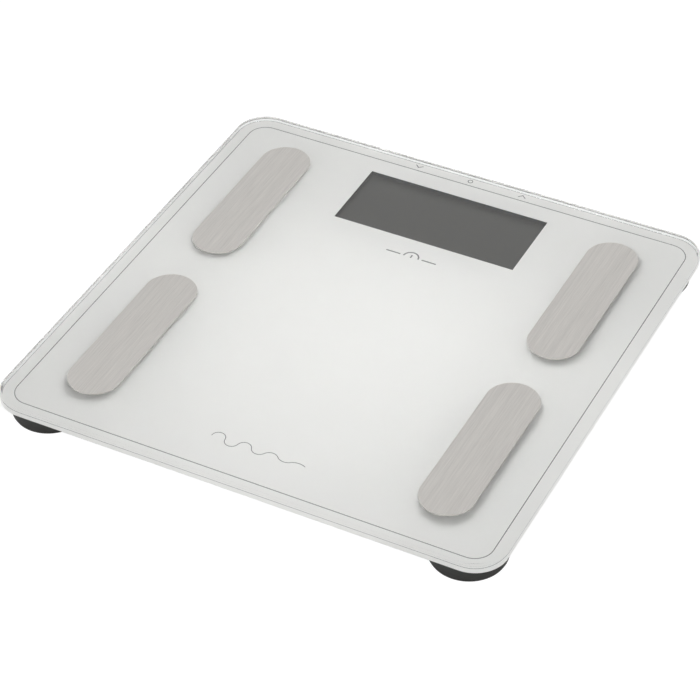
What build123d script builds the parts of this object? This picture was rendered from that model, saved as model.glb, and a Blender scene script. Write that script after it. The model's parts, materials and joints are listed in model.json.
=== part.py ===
from build123d import *
from math import sqrt
import os

# Glass body-analysis bathroom scale. Millimetres, +Z up, origin on the floor under the middle
# of the plate. The user stands facing +Y, so the display is at the +Y side.

# --- standing plate -------------------------------------------------------------------------
plate_width = 300.0
plate_depth = 300.0
plate_thickness = 7.0
corner_radius = 19.0
edge_chamfer = 1.2
plate_underside = 11.2          # height of the glass underside above the floor

# --- printing under the glass ---------------------------------------------------------------
enamel_thickness = 0.2
ink_depth = 0.08
border_inset = 8.2              # from the plate's edge to the middle of the border line
border_line_width = 0.55
window_width = 114.4
window_depth = 49.6
window_inset = 45.4             # from the plate's far edge to the middle of the window
icon_inset = 4.2                # from the plate's far edge to the middle of the icons
icon_width = 4.6
icon_height = 2.2
icon_line = 0.55
dial_mark_gap = 12.8            # from the window's near edge to the middle of the mark
dial_mark_radius = 5.0
dial_mark_bar = 9.0
dial_mark_line = 0.9
dial_needle = 2.7
wave_mark_inset = 31.0          # from the plate's near edge to the middle of the ornament
wave_mark_length = 56.0
wave_mark_height = 8.0
wave_mark_line = 0.45
wave_half_turns = 7

# --- electrodes on top of the glass ---------------------------------------------------------
electrode_width = 30.5
electrode_length = 111.8
electrode_inset_x = 44.4        # from the plate's side edge to an electrode's middle
electrode_inset_y = 81.4        # from the plate's near or far edge to an electrode's middle
electrode_thickness = 0.8
electrode_rim = 0.35
tape_thickness = 0.25
tape_margin = 0.6
stud_offset = 45.0              # from the middle of an electrode towards the middle of the plate
stud_radius = 1.5
stud_hole_radius = 2.5
stud_length = 10.3
nut_width = 5.5
nut_height = 2.0
terminal_radius = 3.3
terminal_thickness = 0.4
terminal_tail = 6.2
terminal_crimp = 2.4

# --- electronics housing --------------------------------------------------------------------
housing_width = 156.0
housing_depth = 76.0
housing_rear_gap = 3.5          # from the housing's rear wall to the plate's far edge
housing_radius = 5.0
housing_wall = 1.6
ground_clearance = 2.0
cover_floor = 1.2
split_height = 7.0              # where the tray meets the cover
tray_top = 1.0
mounting_tape = 0.3
mounting_tape_margin = 0.5
window_tape_margin = 1.0
fit_gap = 0.1

# --- display --------------------------------------------------------------------------------
display_recess = 3.0            # from the glass underside to the face of the display
bezel_opening_margin = 0.2
pane_width = 118.0
front_pane_depth = 56.0
back_pane_depth = 52.0
pane_thickness = 0.55
pane_gap = 0.2
bezel_wall = 1.3
bezel_leg = 2.4
zebra_width = 1.8
zebra_length = 28.0
zebra_end_gap = 3.0

# --- circuit board --------------------------------------------------------------------------
board_thickness = 1.0
board_underside = 4.6
board_half_width = 66.0
board_rear_strip = 20.0
board_wall_gap = 2.4
board_screw_x = 52.0
board_screw_front = 9.0
board_screw_rear = 12.0
board_screw_radius = 0.9
board_screw_head = 1.8
board_screw_head_height = 1.0
standoff_radius = 1.8
header_width = 4.3
header_length = 9.0
header_height = 3.9
chip_size = 14.0
amplifier_size = 7.0
chip_height = 1.3

# --- keys in the rear wall ------------------------------------------------------------------
key_spacing = 33.8
key_width = 11.0
key_height = 2.6
key_middle = 7.1
key_reach = 2.0                 # how far a key stands out of the rear wall
key_travel = 0.5
key_flange = 1.0
key_flange_side = 1.2           # how far the flange stands out beside the key
key_flange_rise = 0.6           # and above and below it
key_edge_round = 0.4
key_clearance = 0.2
switch_width = 6.0
switch_depth = 3.4
switch_height = 3.0
plunger_radius = 0.9
plunger_length = 0.6

# --- unit button in the underside -----------------------------------------------------------
unit_x = -44.0
unit_inset = 29.5               # from the housing's front wall to the button's middle
unit_radius = 2.6
unit_flange = 0.8
unit_travel = 0.3
unit_recess = 0.3
dome_height = 0.35
dome_step = 0.6

# --- battery compartment --------------------------------------------------------------------
cell_radius = 10.0
cell_height = 3.2
cell_edge_round = 0.4
cell_gap = 2.4                  # between the two cells
cell_inset = 27.5               # from the housing's front wall to the cells' middles
cell_clearance = 0.3
cradle_wall = 3.7
cradle_gap = 1.5                # between the cradle and the board round it
door_side = 2.2                 # how much narrower the door is than the cradle, at each side
door_tongue = 1.0
door_tongue_height = 0.5
door_beyond_cell = 3.0          # how far the door reaches past the cells
door_clearance = 0.12
door_ribs = 4
door_rib_length = 14.0
door_rib_width = 1.0
door_rib_depth = 0.3
door_rib_pitch = 2.2
door_rib_start = 6.0            # from the door's front edge to the first rib
contact_thickness = 0.3
contact_width = 5.0
contact_end_gap = 1.0
contact_drop = 0.6              # how far a side contact stays below a cell's top

# --- housing screws -------------------------------------------------------------------------
housing_screw_inset_x = 7.0
housing_screw_inset_y = 6.0
housing_screw_radius = 1.1
housing_screw_head = 2.2
housing_screw_head_height = 1.3
screw_tip_gap = 0.5
screw_cross_length = 2.4
screw_cross_width = 0.6
screw_cross_depth = 0.7
boss_radius = 3.4

# --- feet with load cells -------------------------------------------------------------------
foot_inset = 24.7               # from the plate's edges to a foot's axis
foot_radius = 21.3
foot_pad_margin = 0.7
foot_pad_thickness = 1.6
foot_pad_recess = 0.6
foot_pad_round = 0.5
foot_grooves = 3
foot_groove_pitch = 4.0
foot_groove_width = 1.2
foot_groove_depth = 0.4
foot_cap_height = 7.0
foot_cap_floor = 2.2
foot_cap_wall = 1.2
foot_cap_round = 1.0
foot_lip = 1.0
foot_post_radius = 3.5
foot_post_height = 3.5
base_clearance = 0.3
base_flange_height = 1.5
base_neck_step = 1.2
base_wall = 1.4
base_top = 1.2
base_bottom = 5.0
rail_side_gap = 0.2
rail_end_gap = 1.0
snap_gap = 0.1
load_cell_clearance = 0.2
load_cell_thickness = 1.5
load_cell_slot = 1.6
load_cell_tongue = 7.0
load_cell_frame = 3.0
gauge_thickness = 0.15
gauge_length = 4.0
gauge_side_gap = 0.5
gauge_root_gap = 3.5

# --- wiring ---------------------------------------------------------------------------------
wire_height = 8.9
wire_radius = 0.4
wire_pitch = 0.9
run_bend = 6.0                  # middle radius of the bend in a front run
wire_bend = 2.0
wire_notch = 3.2                 # width of the notch that lets an electrode's wire into a channel
channel_width = 6.6
channel_wall = 0.7
channel_floor = 0.6
channel_end_gap = 0.6
channel_open_end = 1.0          # how far the cut that hollows a channel runs past its ends
wire_end_gap = 0.8               # from a wire's end to the header that it is soldered beside
front_header_inset = 9.0
load_cell_lanes = (-2, -1, 0)
electrode_lanes = {-1: 1, 1: 2}  # lane of the front and of the back electrode's wire

# --- levels and places worked out from the sizes above --------------------------------------
window_centre_y = plate_depth / 2 - window_inset
dial_mark_y = window_centre_y - window_depth / 2 - dial_mark_gap
wave_mark_y = wave_mark_inset - plate_depth / 2
electrode_x = plate_width / 2 - electrode_inset_x
electrode_y = plate_depth / 2 - electrode_inset_y
glass_top = plate_underside + plate_thickness
enamel_underside = plate_underside - enamel_thickness
tray_ceiling = enamel_underside - mounting_tape
display_face = plate_underside - display_recess
pane_underside = display_face - 2 * pane_thickness
board_top = board_underside + board_thickness
cover_top = ground_clearance + cover_floor
housing_rear = plate_depth / 2 - housing_rear_gap
housing_front = housing_rear - housing_depth
housing_centre_y = (housing_front + housing_rear) / 2
bezel_width = pane_width + 2 * (pane_gap + bezel_wall)
bezel_depth = front_pane_depth + 2 * (pane_gap + bezel_wall)
board_front = housing_front + housing_wall + board_wall_gap
board_rear = housing_rear - housing_wall - board_wall_gap
housing_screw_x = housing_width / 2 - housing_screw_inset_x
unit_y = housing_front + unit_inset
cell_y = housing_front + cell_inset
cell_spacing = 2 * cell_radius + cell_gap
cradle_width = cell_spacing + 2 * (cell_radius + cell_clearance + cradle_wall)
cradle_depth = 2 * (cell_radius + cell_clearance + cradle_wall)
door_width = cradle_width - 2 * door_side
cell_underside = cover_top + 2 * fit_gap
cell_top = cell_underside + cell_height
foot_x = plate_width / 2 - foot_inset
foot_y = plate_depth / 2 - foot_inset
foot_cap_underside = foot_pad_thickness - foot_pad_recess
foot_cap_top = foot_cap_underside + foot_cap_height
foot_pad_radius = foot_radius - foot_pad_margin
skirt_inner_radius = foot_radius - foot_cap_wall
base_flange_radius = skirt_inner_radius - base_clearance
base_neck_radius = base_flange_radius - base_neck_step
base_flange_top = foot_cap_top - foot_lip - snap_gap
post_top = foot_cap_underside + foot_cap_floor + foot_post_height
load_cell_underside = post_top
load_cell_top = load_cell_underside + load_cell_thickness
load_cell_size = (base_neck_radius - base_wall - load_cell_clearance) * sqrt(2)

corners = {
    "front_left": (-1, -1),
    "front_right": (1, -1),
    "back_left": (-1, 1),
    "back_right": (1, 1),
}


def block(x_size, y_size, low, high, x=0.0, y=0.0):
    """An upright box from one level to another, centred on x and y."""
    return Pos(x, y, (low + high) / 2) * Box(x_size, y_size, high - low)


def disc(radius, low, high, x=0.0, y=0.0):
    """An upright round bar from one level to another."""
    return Pos(x, y, (low + high) / 2) * Cylinder(radius, high - low)


def rounded_block(x_size, y_size, radius, low, high, x=0.0, y=0.0):
    """An upright block with round corners in plan."""
    outline = Pos(x, y, low) * RectangleRounded(x_size, y_size, radius)
    return extrude(outline, amount=high - low)


def group(solids):
    """Separate solids kept in one node."""
    return Compound(children=[solid for item in solids for solid in item.solids()])


def stud_place(side_x, side_y):
    """Where an electrode's stud passes through the plate."""
    return side_x * electrode_x, side_y * (electrode_y - stud_offset)


def stud_places():
    return [stud_place(*sides) for sides in corners.values()]


# --- plate and printing ---------------------------------------------------------------------

def make_glass_plate():
    plate = rounded_block(plate_width, plate_depth, corner_radius, plate_underside, glass_top)
    rims = plate.edges().filter_by_position(Axis.Z, glass_top, glass_top)
    rims += plate.edges().filter_by_position(Axis.Z, plate_underside, plate_underside)
    plate = chamfer(rims, edge_chamfer)
    for x, y in stud_places():
        plate -= disc(stud_hole_radius, plate_underside, glass_top, x, y)
    return plate


def square_line(half_x, half_y, radius, line):
    """A closed line of even width round a rounded rectangle, as a flat face."""
    outer = RectangleRounded(2 * half_x + line, 2 * half_y + line, radius + line / 2)
    inner = RectangleRounded(2 * half_x - line, 2 * half_y - line, radius - line / 2)
    return outer - inner


def ink(outline):
    """Ink of one thickness against the glass underside."""
    return extrude(Pos(0, 0, plate_underside - ink_depth) * outline, amount=ink_depth)


def make_border_line():
    half_x = plate_width / 2 - border_inset
    half_y = plate_depth / 2 - border_inset
    return ink(square_line(half_x, half_y, corner_radius - border_inset, border_line_width))


def chevron(x, y, point):
    """A V of even line width; point is -1 for a tip towards the user and 1 away."""
    tip = (x, y + point * icon_height / 2)
    tail_y = y - point * icon_height / 2
    route = Polyline((x - icon_width / 2, tail_y), tip, (x + icon_width / 2, tail_y))
    return trace(route, icon_line)


def make_key_icons():
    y = plate_depth / 2 - icon_inset
    ring = Pos(0, y) * (Circle(icon_height / 2 + icon_line) - Circle(icon_height / 2))
    marks = [chevron(-key_spacing, y, -1), ring, chevron(key_spacing, y, 1)]
    return group([ink(mark) for mark in marks])


def make_dial_mark():
    """A plain pointer dial between two short bars, a general sign for weighing."""
    half_line = dial_mark_line / 2
    base_y = dial_mark_y - dial_mark_radius / 2
    arch = Circle(dial_mark_radius) - Circle(dial_mark_radius - dial_mark_line)
    arch -= Pos(0, -dial_mark_radius) * Rectangle(3 * dial_mark_radius, 2 * dial_mark_radius)
    needle = Pos(0, half_line) * Rectangle(dial_mark_line, dial_needle)
    marks = [Pos(0, base_y) * arch, Pos(0, base_y + half_line) * needle]
    bar_x = dial_mark_radius + 2 * dial_mark_line + dial_mark_bar / 2
    for side in (-1, 1):
        marks.append(Pos(side * bar_x, base_y + half_line) * Rectangle(dial_mark_bar, dial_mark_line))
    return group([ink(mark) for mark in marks])


def make_wave_mark():
    """An even-width line of arcs that die away to the right, as plain ornament."""
    step = wave_mark_length / wave_half_turns
    x = -wave_mark_length / 2
    line = []
    for turn in range(wave_half_turns):
        rise = wave_mark_height / 2 * (1 - turn / (wave_half_turns + 1)) * (-1) ** turn
        middle = (x + step / 2, wave_mark_y + rise)
        line.append(ThreePointArc((x, wave_mark_y), middle, (x + step, wave_mark_y)))
        x += step
    stroke = [trace(arc, wave_mark_line) for arc in line]
    joined = stroke[0]
    for piece in stroke[1:]:
        joined += piece
    return group([ink(joined)])


def make_enamel(prints):
    """The white back coat, with the display window, stud holes and beds for the line work."""
    margin = 2 * edge_chamfer
    coat = rounded_block(plate_width - margin, plate_depth - margin, corner_radius - edge_chamfer,
                         enamel_underside, plate_underside)
    coat -= block(window_width, window_depth, enamel_underside, plate_underside, 0, window_centre_y)
    for x, y in stud_places():
        coat -= disc(stud_hole_radius, enamel_underside, plate_underside, x, y)
    for line_work in prints:
        coat -= line_work
    return coat


# --- electrodes -----------------------------------------------------------------------------

def stadium(width, length, low, high, x, y):
    """An upright plate with half-round ends along Y."""
    outline = Pos(x, y, low) * Rot(0, 0, 90) * SlotOverall(length, width)
    return extrude(outline, amount=high - low)


def make_electrode(side_x, side_y):
    low = glass_top + tape_thickness
    pad = stadium(electrode_width, electrode_length, low, low + electrode_thickness,
                  side_x * electrode_x, side_y * electrode_y)
    rim = pad.edges().group_by(Axis.Z)[-1]
    return fillet(rim, electrode_rim)


def make_electrode_tapes():
    tapes = []
    for side_x, side_y in corners.values():
        tape = stadium(electrode_width - 2 * tape_margin, electrode_length - 2 * tape_margin,
                       glass_top, glass_top + tape_thickness,
                       side_x * electrode_x, side_y * electrode_y)
        x, y = stud_place(side_x, side_y)
        tapes.append(tape - disc(stud_hole_radius, glass_top, glass_top + tape_thickness, x, y))
    return group(tapes)


def make_studs():
    top = glass_top + tape_thickness
    return group([disc(stud_radius, top - stud_length, top, x, y) for x, y in stud_places()])


def make_nuts():
    high = enamel_underside - terminal_thickness
    nuts = []
    for x, y in stud_places():
        outline = Pos(x, y, high - nut_height) * RegularPolygon(nut_width / 2, 6, major_radius=False)
        nut = extrude(outline, amount=nut_height)
        nuts.append(nut - disc(stud_radius, high - nut_height, high, x, y))
    return group(nuts)


def make_ring_terminals():
    """Rings under the studs, each with a tail that turns down to hold its wire."""
    terminals = []
    low = enamel_underside - terminal_thickness
    for side_x, side_y in corners.values():
        x, y = stud_place(side_x, side_y)
        ring = disc(terminal_radius, low, enamel_underside, x, y)
        ring -= disc(stud_hole_radius, low, enamel_underside, x, y)
        tail_x = x - side_x * (stud_hole_radius + terminal_tail) / 2
        tail_length = terminal_tail - stud_hole_radius
        ring += block(tail_length, terminal_crimp, low, enamel_underside, tail_x, y)
        crimp_x = x - side_x * (terminal_tail - terminal_crimp / 2)
        ring += block(terminal_crimp, terminal_crimp, wire_height - 2 * wire_radius, enamel_underside,
                      crimp_x, y)
        terminals.append(ring)
    return group(terminals)


# --- housing --------------------------------------------------------------------------------

def housing_screw_places():
    rows = (housing_front + housing_screw_inset_y, housing_centre_y, housing_rear - housing_screw_inset_y)
    return [(side * housing_screw_x, y) for side in (-1, 1) for y in rows]


def key_xs():
    return {"key_down": -key_spacing, "key_set": 0.0, "key_up": key_spacing}


def key_window(x):
    """The slot that a key slides in, through the rear wall."""
    size_x = key_width + 2 * key_clearance
    half = key_height / 2 + key_clearance
    return block(size_x, 3 * housing_wall, key_middle - half, key_middle + half, x, housing_rear)


def make_housing_tray(wires):
    """The upper shell, taped to the plate, open over the display."""
    tray = rounded_block(housing_width, housing_depth, housing_radius, split_height, tray_ceiling,
                         0, housing_centre_y)
    inner = 2 * housing_wall
    tray -= rounded_block(housing_width - inner, housing_depth - inner, housing_radius - housing_wall,
                          split_height, tray_ceiling - tray_top, 0, housing_centre_y)
    tray -= block(bezel_width + 2 * fit_gap, bezel_depth + 2 * fit_gap, tray_ceiling - 2 * tray_top,
                  tray_ceiling, 0, window_centre_y)
    for x, y in housing_screw_places():
        tray += disc(boss_radius, split_height, tray_ceiling - tray_top, x, y)
        tray -= disc(housing_screw_radius, split_height, tray_ceiling - tray_top, x, y)
    for x in key_xs().values():
        tray -= key_window(x)
    for tunnel in wires:
        tray -= tunnel
    return tray


def make_housing_cover():
    """The lower shell, with the battery cradle, the door's track and the button hole."""
    cover = rounded_block(housing_width, housing_depth, housing_radius, ground_clearance, split_height,
                          0, housing_centre_y)
    inner = 2 * housing_wall
    cover -= rounded_block(housing_width - inner, housing_depth - inner, housing_radius - housing_wall,
                           cover_top, split_height, 0, housing_centre_y)
    for x, y in housing_screw_places():
        cover += disc(boss_radius, cover_top, split_height, x, y)
        cover -= disc(housing_screw_radius, ground_clearance, split_height, x, y)
        cover -= disc(housing_screw_head + fit_gap, ground_clearance,
                      ground_clearance + housing_screw_head_height, x, y)
    for x, y in board_screw_places():
        cover += disc(standoff_radius, cover_top, board_underside, x, y)
        cover -= disc(board_screw_radius, cover_top - cover_floor / 2, board_underside, x, y)
    for x in key_xs().values():
        cover -= key_window(x)
    cover -= disc(unit_radius + key_clearance, ground_clearance, cover_top, unit_x, unit_y)
    cover += make_cradle()
    return cover - make_door_track()


def cell_places():
    return [(side * cell_spacing / 2, cell_y) for side in (-1, 1)]


def make_cradle():
    """The block with two round pockets that the cells sit in."""
    cradle = block(cradle_width, cradle_depth, cover_top, cell_top, 0, cell_y)
    for x, y in cell_places():
        cradle -= disc(cell_radius + cell_clearance, ground_clearance, cell_top, x, y)
        cradle -= block(contact_width + 2 * fit_gap, cell_radius, ground_clearance, cell_top,
                        x, y + cell_radius)
    return cradle


def door_back():
    return cell_y + cell_radius + door_beyond_cell


def make_door_track():
    """The way that the door slides in: the panel's own slot and a groove at each side."""
    length = door_back() + door_clearance - housing_front
    middle = door_back() + door_clearance - length / 2
    slot = block(door_width + 2 * door_clearance, length, ground_clearance, cover_top + door_clearance,
                 0, middle)
    groove_width = door_width + 2 * (door_tongue + door_clearance)
    groove = block(groove_width, length, cover_top - door_tongue_height - door_clearance / 2,
                   cover_top + door_clearance, 0, middle)
    return slot + groove


def make_battery_door():
    """The sliding panel, with a tongue along each side and ribs for the thumb."""
    length = door_back() - housing_front
    middle = (door_back() + housing_front) / 2
    door = block(door_width, length, ground_clearance, cover_top, 0, middle)
    door += block(door_width + 2 * door_tongue, length, cover_top - door_tongue_height, cover_top, 0, middle)
    for row in range(door_ribs):
        door -= block(door_rib_length, door_rib_width, ground_clearance, ground_clearance + door_rib_depth,
                      0, housing_front + door_rib_start + row * door_rib_pitch)
    return door


def make_coin_cells():
    cells = []
    for x, y in cell_places():
        cell = disc(cell_radius, cell_underside, cell_top, x, y)
        rim = cell.edges().group_by(Axis.Z)[0]
        cells.append(fillet(rim, cell_edge_round))
    return group(cells)


def make_top_contacts():
    """Strips over the cells that press on their upper faces."""
    strips = []
    length = cradle_depth - 2 * contact_end_gap
    for x, y in cell_places():
        strips.append(block(contact_width, length, cell_top, cell_top + contact_thickness, x, y))
    return group(strips)


def make_side_contacts():
    """Upright tabs that touch the cells' rims and turn over the cradle."""
    tabs = []
    high = cell_top - contact_drop
    for x, y in cell_places():
        near = y + cell_radius + fit_gap
        tab = block(contact_width, contact_thickness, cell_underside, high, x,
                    near + contact_thickness / 2)
        foot_length = board_rear_front() - near
        tab += block(contact_width, foot_length, high - contact_thickness, high, x, near + foot_length / 2)
        tabs.append(tab)
    return group(tabs)


def make_housing_screws():
    screws = []
    for x, y in housing_screw_places():
        head_top = ground_clearance + housing_screw_head_height
        screw = disc(housing_screw_head, ground_clearance + fit_gap, head_top, x, y)
        screw += disc(housing_screw_radius, head_top, tray_ceiling - tray_top - screw_tip_gap, x, y)
        cross_top = ground_clearance + screw_cross_depth
        screw -= block(screw_cross_length, screw_cross_width, ground_clearance, cross_top, x, y)
        screw -= block(screw_cross_width, screw_cross_length, ground_clearance, cross_top, x, y)
        screws.append(screw)
    return group(screws)


def make_mounting_tapes():
    """Foam tape between the plate and what hangs under it: the housing and the foot bases."""
    margin = 2 * mounting_tape_margin
    ring = rounded_block(housing_width - margin, housing_depth - margin,
                         housing_radius - mounting_tape_margin, tray_ceiling, enamel_underside,
                         0, housing_centre_y)
    opening = 2 * window_tape_margin
    ring -= block(bezel_width + opening, bezel_depth + opening, tray_ceiling, enamel_underside,
                  0, window_centre_y)
    tapes = [ring]
    for side_x, side_y in corners.values():
        tapes.append(disc(base_neck_radius - mounting_tape_margin, tray_ceiling, enamel_underside,
                          side_x * foot_x, side_y * foot_y))
    return group(tapes)


# --- display --------------------------------------------------------------------------------

def make_lcd_bezel():
    """The dark frame whose walls show round the display, with a pocket for the panes."""
    bezel = block(bezel_width, bezel_depth, pane_underside, enamel_underside, 0, window_centre_y)
    pocket = 2 * pane_gap
    bezel -= block(pane_width + pocket, front_pane_depth + pocket, pane_underside, display_face,
                   0, window_centre_y)
    margin = 2 * bezel_opening_margin
    bezel -= block(window_width + margin, window_depth + margin, pane_underside, enamel_underside,
                   0, window_centre_y)
    leg_x = bezel_width / 2 - bezel_wall / 2 - fit_gap
    leg_y = bezel_depth / 2 - bezel_leg
    for side_x, side_y in corners.values():
        bezel += block(bezel_wall, bezel_leg, board_top, pane_underside, side_x * leg_x,
                       window_centre_y + side_y * leg_y)
    return bezel


def make_lcd_front_pane():
    return block(pane_width, front_pane_depth, display_face - pane_thickness, display_face,
                 0, window_centre_y)


def make_lcd_back_pane():
    y = window_centre_y + (front_pane_depth - back_pane_depth) / 2
    return block(pane_width, back_pane_depth, pane_underside, pane_underside + pane_thickness, 0, y)


def make_zebra_strips():
    """Rubber strips that carry the contacts from the board up to the front pane's ledge."""
    y = window_centre_y - front_pane_depth / 2 + (front_pane_depth - back_pane_depth) / 2
    x = pane_width / 2 - zebra_length / 2 - zebra_end_gap
    return group([block(zebra_length, zebra_width, board_top, display_face - pane_thickness, side * x, y)
                  for side in (-1, 1)])


# --- board ----------------------------------------------------------------------------------

def board_rear_front():
    """The front edge of the strip that runs along the rear of the board."""
    return board_rear - board_rear_strip


def board_screw_places():
    rows = (board_front + board_screw_front, board_rear - board_screw_rear)
    return [(side * board_screw_x, y) for side in (-1, 1) for y in rows]


def make_circuit_board():
    """A U-shaped board that leaves room for the cells."""
    middle = (board_front + board_rear) / 2
    board = block(2 * board_half_width, board_rear - board_front, board_underside, board_top, 0, middle)
    cut_length = board_rear_front() - board_front
    board -= block(cradle_width + 2 * cradle_gap, cut_length, board_underside, board_top, 0,
                   board_front + cut_length / 2)
    for x, y in board_screw_places():
        board -= disc(board_screw_radius, board_underside, board_top, x, y)
    return board


def make_board_screws():
    screws = []
    for x, y in board_screw_places():
        screw = disc(board_screw_radius, cover_top - cover_floor / 2 + fit_gap, board_top, x, y)
        screw += disc(board_screw_head, board_top, board_top + board_screw_head_height, x, y)
        screws.append(screw)
    return group(screws)


def make_chip(side, size):
    """A square chip on the middle of one of the board's two arms."""
    x = side * (board_half_width + cradle_width / 2 + cradle_gap) / 2
    return block(size, size, board_top, board_top + chip_height, x, cell_y)


def header_places():
    x = board_half_width - header_width / 2
    ys = {-1: board_front + front_header_inset, 1: foot_y}
    return {name: (side_x * x, ys[side_y]) for name, (side_x, side_y) in corners.items()}


def make_wire_headers():
    return group([block(header_width, header_length, board_top, board_top + header_height, x, y)
                  for x, y in header_places().values()])


# --- keys -----------------------------------------------------------------------------------

def switch_rear():
    """The face of a switch's plunger at rest."""
    return key_inner_end() - key_travel - fit_gap


def key_inner_end():
    return housing_rear - housing_wall - key_clearance - key_flange


def make_key(x):
    """A key with a flange inside the wall that keeps it from falling out."""
    low = key_middle - key_height / 2
    high = key_middle + key_height / 2
    start = key_inner_end()
    end = housing_rear + key_reach
    key = block(key_width, end - start, low, high, x, (start + end) / 2)
    outer_edges = key.edges().group_by(Axis.Y)[-1]
    key = fillet(outer_edges, key_edge_round)
    flange = block(key_width + 2 * key_flange_side, key_flange, low - key_flange_rise,
                   high + key_flange_rise, x, start + key_flange / 2)
    return key + flange


def make_key_switches():
    switches = []
    for x in key_xs().values():
        back = switch_rear() - plunger_length
        switch = block(switch_width, switch_depth, board_top, board_top + switch_height, x,
                       back - switch_depth / 2)
        plunger = Pos(x, back + plunger_length / 2, key_middle) * Rot(90, 0, 0)
        switch += plunger * Cylinder(plunger_radius, plunger_length)
        switches.append(switch)
    return group(switches)


def unit_top():
    return board_underside - dome_height - unit_travel - fit_gap / 2


def make_unit_button():
    button = disc(unit_radius, ground_clearance + unit_recess, unit_top(), unit_x, unit_y)
    button += disc(unit_radius + unit_flange, cover_top + fit_gap / 2, unit_top(), unit_x, unit_y)
    return button


def make_unit_dome():
    """A thin domed contact under the board, with a flat top."""
    dome = Cone(unit_radius - dome_step, unit_radius, dome_height)
    return Pos(unit_x, unit_y, board_underside - dome_height / 2) * dome


# --- feet -----------------------------------------------------------------------------------

def make_foot_base(tunnels):
    """The upper half of a foot: a round cup, open downwards, that holds the load cell."""
    base = disc(base_neck_radius, base_bottom, tray_ceiling)
    base += disc(base_flange_radius, base_flange_top - base_flange_height, base_flange_top)
    base -= disc(base_neck_radius - base_wall, base_bottom, tray_ceiling - base_top)
    rail_width = load_cell_frame - 2 * rail_side_gap
    rail_length = load_cell_size - 2 * rail_end_gap
    rail_x = load_cell_size / 2 - load_cell_frame / 2
    for side in (-1, 1):
        base += block(rail_width, rail_length, load_cell_top, tray_ceiling - base_top, side * rail_x)
    return base


def make_load_cell():
    """A square steel plate whose middle tongue is cut free on three sides."""
    cell = block(load_cell_size, load_cell_size, load_cell_underside, load_cell_top)
    reach = load_cell_size - 2 * load_cell_frame
    slot_x = load_cell_tongue / 2 + load_cell_slot / 2
    for side in (-1, 1):
        cell -= block(load_cell_slot, reach, load_cell_underside, load_cell_top, side * slot_x)
    cell -= block(load_cell_tongue + 2 * load_cell_slot, load_cell_slot, load_cell_underside,
                  load_cell_top, 0, reach / 2 - load_cell_slot / 2)
    return cell


def make_gauge():
    """A thin strain gauge near the tongue's root."""
    y = -(load_cell_size / 2 - load_cell_frame - gauge_root_gap)
    return block(load_cell_tongue - 2 * gauge_side_gap, gauge_length, load_cell_top,
                 load_cell_top + gauge_thickness, 0, y)


def make_foot_cap():
    """The lower half of a foot: a cup with a centre post and a lip that snaps over the base."""
    low = foot_cap_underside
    cap = disc(foot_radius, low, foot_cap_top)
    cap = fillet(cap.edges().group_by(Axis.Z)[0], foot_cap_round)
    cap -= disc(skirt_inner_radius, low + foot_cap_floor, foot_cap_top - foot_lip)
    cap -= disc(base_neck_radius + base_clearance, low + foot_cap_floor, foot_cap_top)
    cap -= disc(foot_pad_radius, low, foot_pad_thickness)
    return cap + disc(foot_post_radius, low + foot_cap_floor, post_top)


def make_foot_pad():
    pad = disc(foot_pad_radius, 0, foot_pad_thickness)
    pad = fillet(pad.edges().group_by(Axis.Z)[0], foot_pad_round)
    for ring in range(1, foot_grooves + 1):
        radius = foot_pad_radius - ring * foot_groove_pitch
        groove = disc(radius, 0, foot_groove_depth)
        pad -= groove - disc(radius - foot_groove_width, 0, foot_groove_depth)
    return pad


# --- wiring ---------------------------------------------------------------------------------

def run_points(name, lane=0):
    """The way of a foot's wires in plan: from the foot's axis to its header on the board.

    Front runs go inwards, then away from the user; back runs only go inwards. Lanes lie side by
    side, and the highest is the one that bends tightest.
    """
    side_x, side_y = corners[name]
    header_x, header_y = header_places()[name]
    shift = lane * wire_pitch
    start = (side_x * foot_x, side_y * foot_y + shift)
    if side_y > 0:
        return [start, (header_x + side_x * (header_width / 2 + wire_end_gap), start[1])]
    corner = (header_x + side_x * shift, start[1])
    return [start, corner, (corner[0], header_y - header_length / 2 - wire_end_gap)]


def bar_between(first, last, width, low, high):
    """A bar in plan between two points in line along X or Y."""
    (x0, y0), (x1, y1) = first, last
    x_size = abs(x1 - x0) or width
    y_size = abs(y1 - y0) or width
    return block(x_size, y_size, low, high, (x0 + x1) / 2, (y0 + y1) / 2)


def channel_bars(name, width, low, high, beyond):
    """A run's straight bars between its foot and the housing, longer by a margin at each end."""
    side_x, side_y = corners[name]
    points = run_points(name)
    first = (points[0][0] - side_x * (foot_radius + channel_end_gap - beyond), points[0][1])
    if side_y > 0:
        last = (side_x * (housing_width / 2 + channel_end_gap - beyond), points[0][1])
        return bar_between(first, last, width, low, high)
    corner = points[1]
    past_corner = (corner[0] - side_x * width / 2, corner[1])
    before_corner = (corner[0], corner[1] - width / 2)
    last = (corner[0], housing_front - channel_end_gap + beyond)
    bars = bar_between(first, past_corner, width, low, high)
    return bars + bar_between(before_corner, last, width, low, high)


def make_channel(name):
    """A moulded strip under the plate, open upwards, that holds a foot's wires."""
    low = wire_height - wire_radius - channel_floor - fit_gap
    channel = channel_bars(name, channel_width, low, enamel_underside, 0)
    channel -= channel_bars(name, channel_width - 2 * channel_wall, low + channel_floor,
                            enamel_underside, channel_open_end)
    side_x, side_y = corners[name]
    if side_y < 0:
        for stud_side in (-1, 1):
            start, corner = electrode_wire_points(side_x, stud_side)[:2]
            channel -= bar_between(start, corner, wire_notch, low + channel_floor, enamel_underside)
    return channel


def round_wire(points, bend):
    """A wire at the wires' height through points in plan, with round bends."""
    route = [(x, y, wire_height) for x, y in points]
    if len(route) > 2:
        path = FilletPolyline(*route, radius=bend)
    else:
        path = Line(*route)
    section = Plane(origin=route[0], z_dir=path % 0) * Circle(wire_radius)
    return sweep(section, path=path)


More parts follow.
